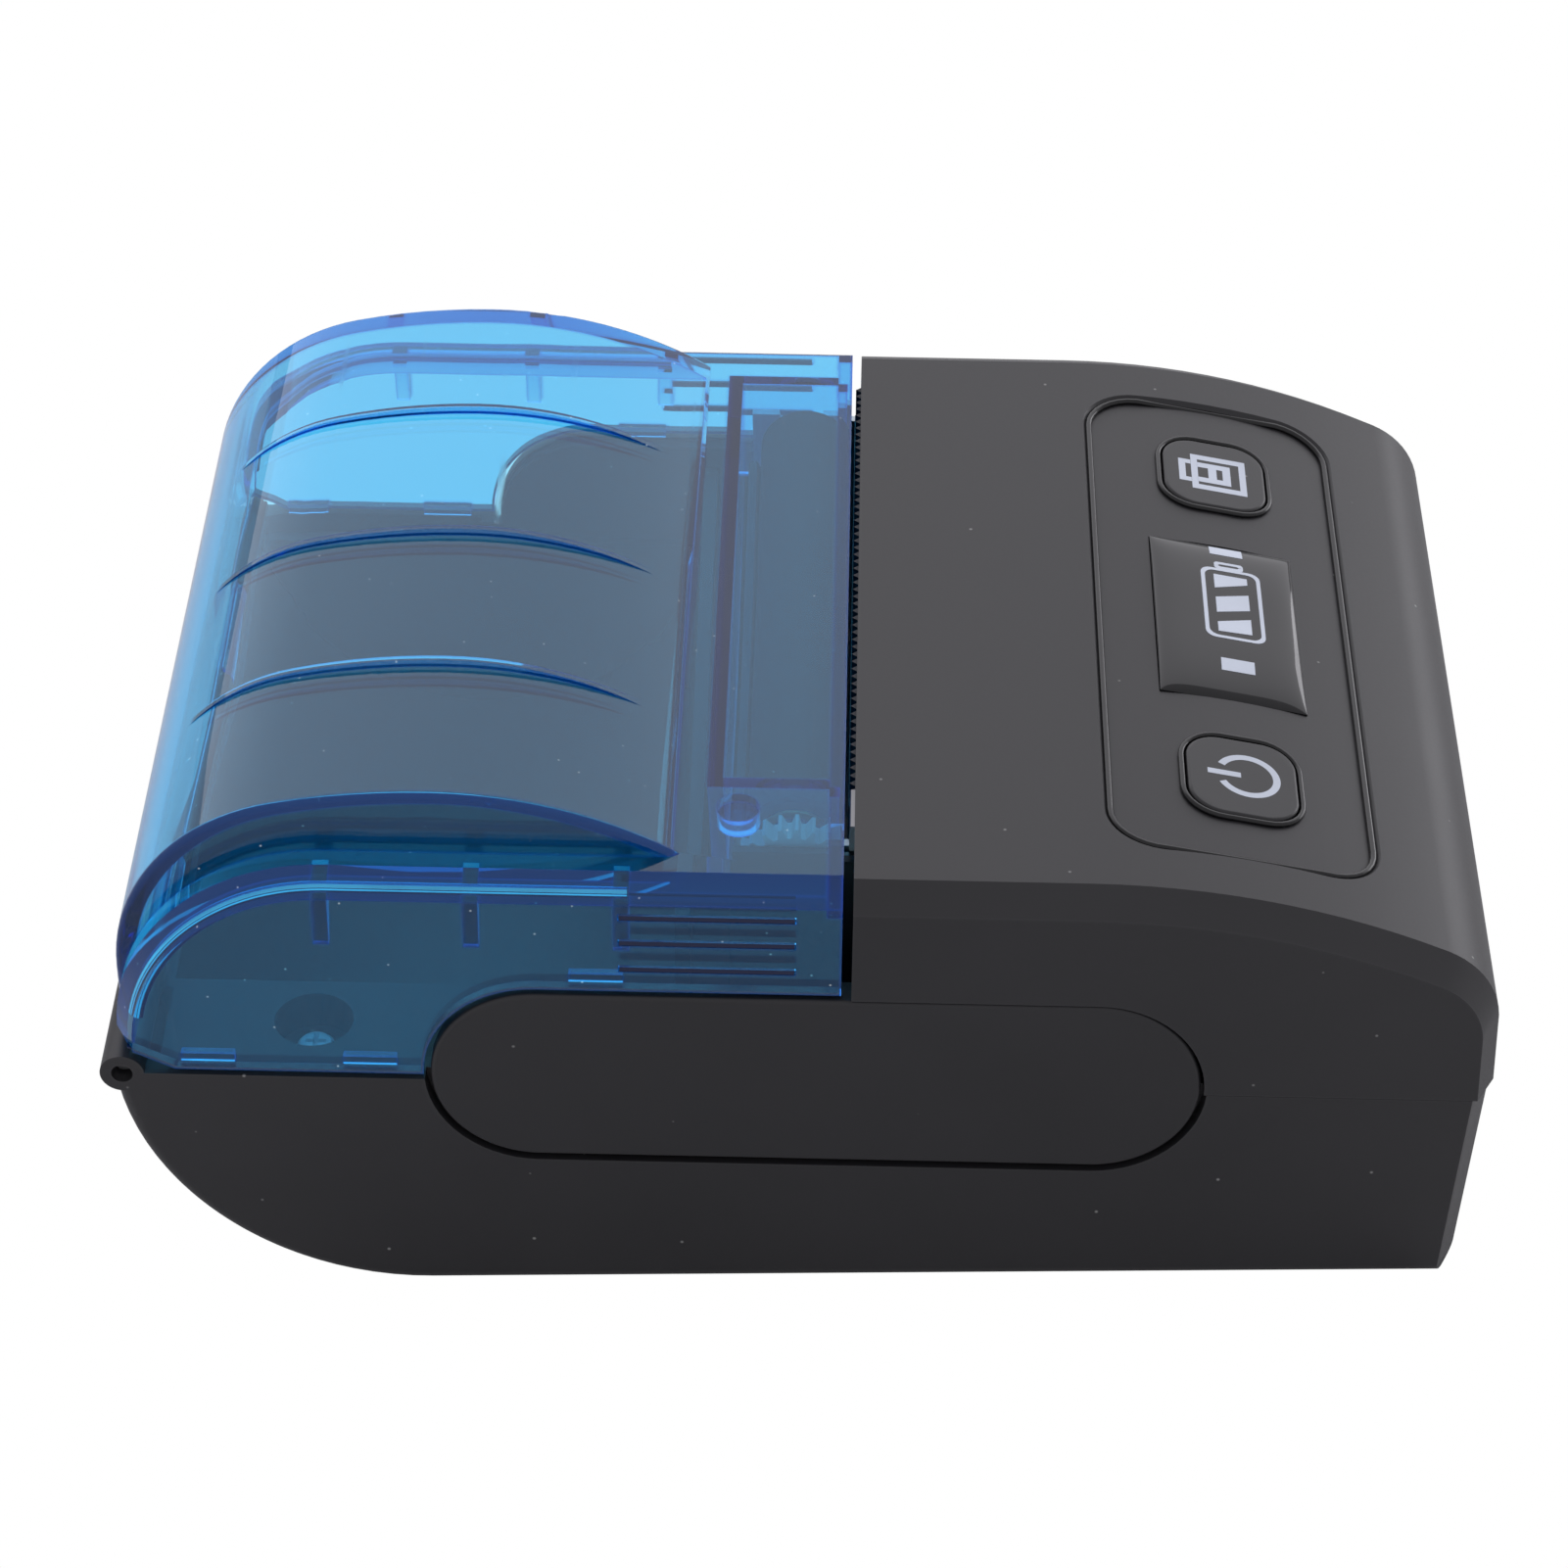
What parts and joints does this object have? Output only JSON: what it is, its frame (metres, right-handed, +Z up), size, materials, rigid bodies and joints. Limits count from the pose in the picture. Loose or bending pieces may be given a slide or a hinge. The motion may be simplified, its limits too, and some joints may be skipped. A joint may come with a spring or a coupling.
{
  "type": "portable receipt printer",
  "caption": "Pocket receipt printer: black shell, clear hinged lid with a domed roll cover and platen, tear bar, sunk control panel with two buttons.",
  "frame": {"origin": "centre of the bounding box's base, on the flat underside", "axes": "+X to the front, where the control panel is; +Y to the side away from the gears; +Z up"},
  "size_m": [0.109, 0.078, 0.0475],
  "materials": {
    "shell_black": "fine satin grain",
    "lid_clear": "clear blue, polished",
    "inner_black": "satin",
    "button_black": "satin",
    "label_black": "gloss, domed",
    "steel": "brushed",
    "bright_steel": "bright",
    "black_screw": "black oxide",
    "aluminium": "satin",
    "head_ceramic": "glazed strip",
    "platen_rubber": "ground",
    "gear_white": "satin",
    "guide_grey": "satin",
    "board_green": "solder mask",
    "chip_black": "satin",
    "flex_amber": "film",
    "brass": "plated",
    "lamp_white": "clear resin",
    "guide_clear": "frosted",
    "battery_wrap": "shrink film"
  },
  "bodies": {
    "base": {"lower_shell": "shell_black", "upper_shell": "shell_black", "side_panel_near": "shell_black", "side_panel_far": "shell_black", "hinge_pin": "steel", "paper_tray": "inner_black", "tray_screws": "steel", "mechanism_frame": "steel", "frame_screws": "steel", "paper_guide": "guide_grey", "paper_sensor": "chip_black", "thermal_head": "head_ceramic", "head_heat_sink": "aluminium", "head_springs": "steel", "head_flex": "flex_amber", "tear_bar": "bright_steel", "tear_bar_clip": "bright_steel", "drive_motor": "steel", "idler_axle": "steel", "gear_cover": "inner_black", "main_board": "board_green", "board_screws": "steel", "board_parts": "chip_black", "usb_socket": "bright_steel", "battery_contacts": "brass", "battery_pack": "battery_wrap", "case_screws": "black_screw", "key_board": "board_green", "key_board_screws": "steel", "tact_switches": "chip_black", "indicator_leds": "lamp_white", "light_guide": "guide_clear", "indicator_label": "label_black"},
    "lid": {"lid": "lid_clear", "platen_bushings": "brass"},
    "platen": {"platen_roller": "platen_rubber", "platen_shaft": "steel", "platen_gear": "gear_white"},
    "idler": {"idler_gear": "gear_white"},
    "pinion": {"motor_pinion": "brass"},
    "feed": {"feed_button": "button_black"},
    "power": {"power_button": "button_black"},
    "battery_door": {"battery_cover": "shell_black"}
  },
  "joints": [
    {"name": "lid_hinge", "type": "hinge", "parent": "base", "child": "lid", "pos_m": [-0.05277, 0, 0.02287], "axis": [0, -1, 0], "range_deg": [0, 100]},
    {"name": "platen_spin", "type": "hinge", "parent": "lid", "child": "platen", "pos_m": [-0.00024, 0.0044, 0.03269], "axis": [0, -1, 0], "continuous": true},
    {"name": "idler_spin", "type": "hinge", "parent": "base", "child": "idler", "pos_m": [0.00183, -0.02735, 0.02162], "axis": [0, -1, 0], "continuous": true},
    {"name": "pinion_spin", "type": "hinge", "parent": "base", "child": "pinion", "pos_m": [0.01055, -0.02735, 0.01849], "axis": [0, -1, 0], "continuous": true},
    {"name": "feed_press", "type": "slide", "parent": "base", "child": "feed", "axis": [-0.2258, 0, -0.9742], "range_m": [0, 0.0008], "stiffness_N_per_m": 300, "springref_m": -0.0004},
    {"name": "power_press", "type": "slide", "parent": "base", "child": "power", "axis": [-0.2258, 0, -0.9742], "range_m": [0, 0.0008], "stiffness_N_per_m": 300, "springref_m": -0.0004},
    {"name": "battery_cover_slide", "type": "slide", "parent": "base", "child": "battery_door", "axis": [-1, 0, 0], "range_m": [0, 0.002]}
  ],
  "couplings": [
    {"joint": "idler_spin", "follows": "platen_spin", "ratio": -0.64706},
    {"joint": "pinion_spin", "follows": "platen_spin", "ratio": 1.8333}
  ]
}
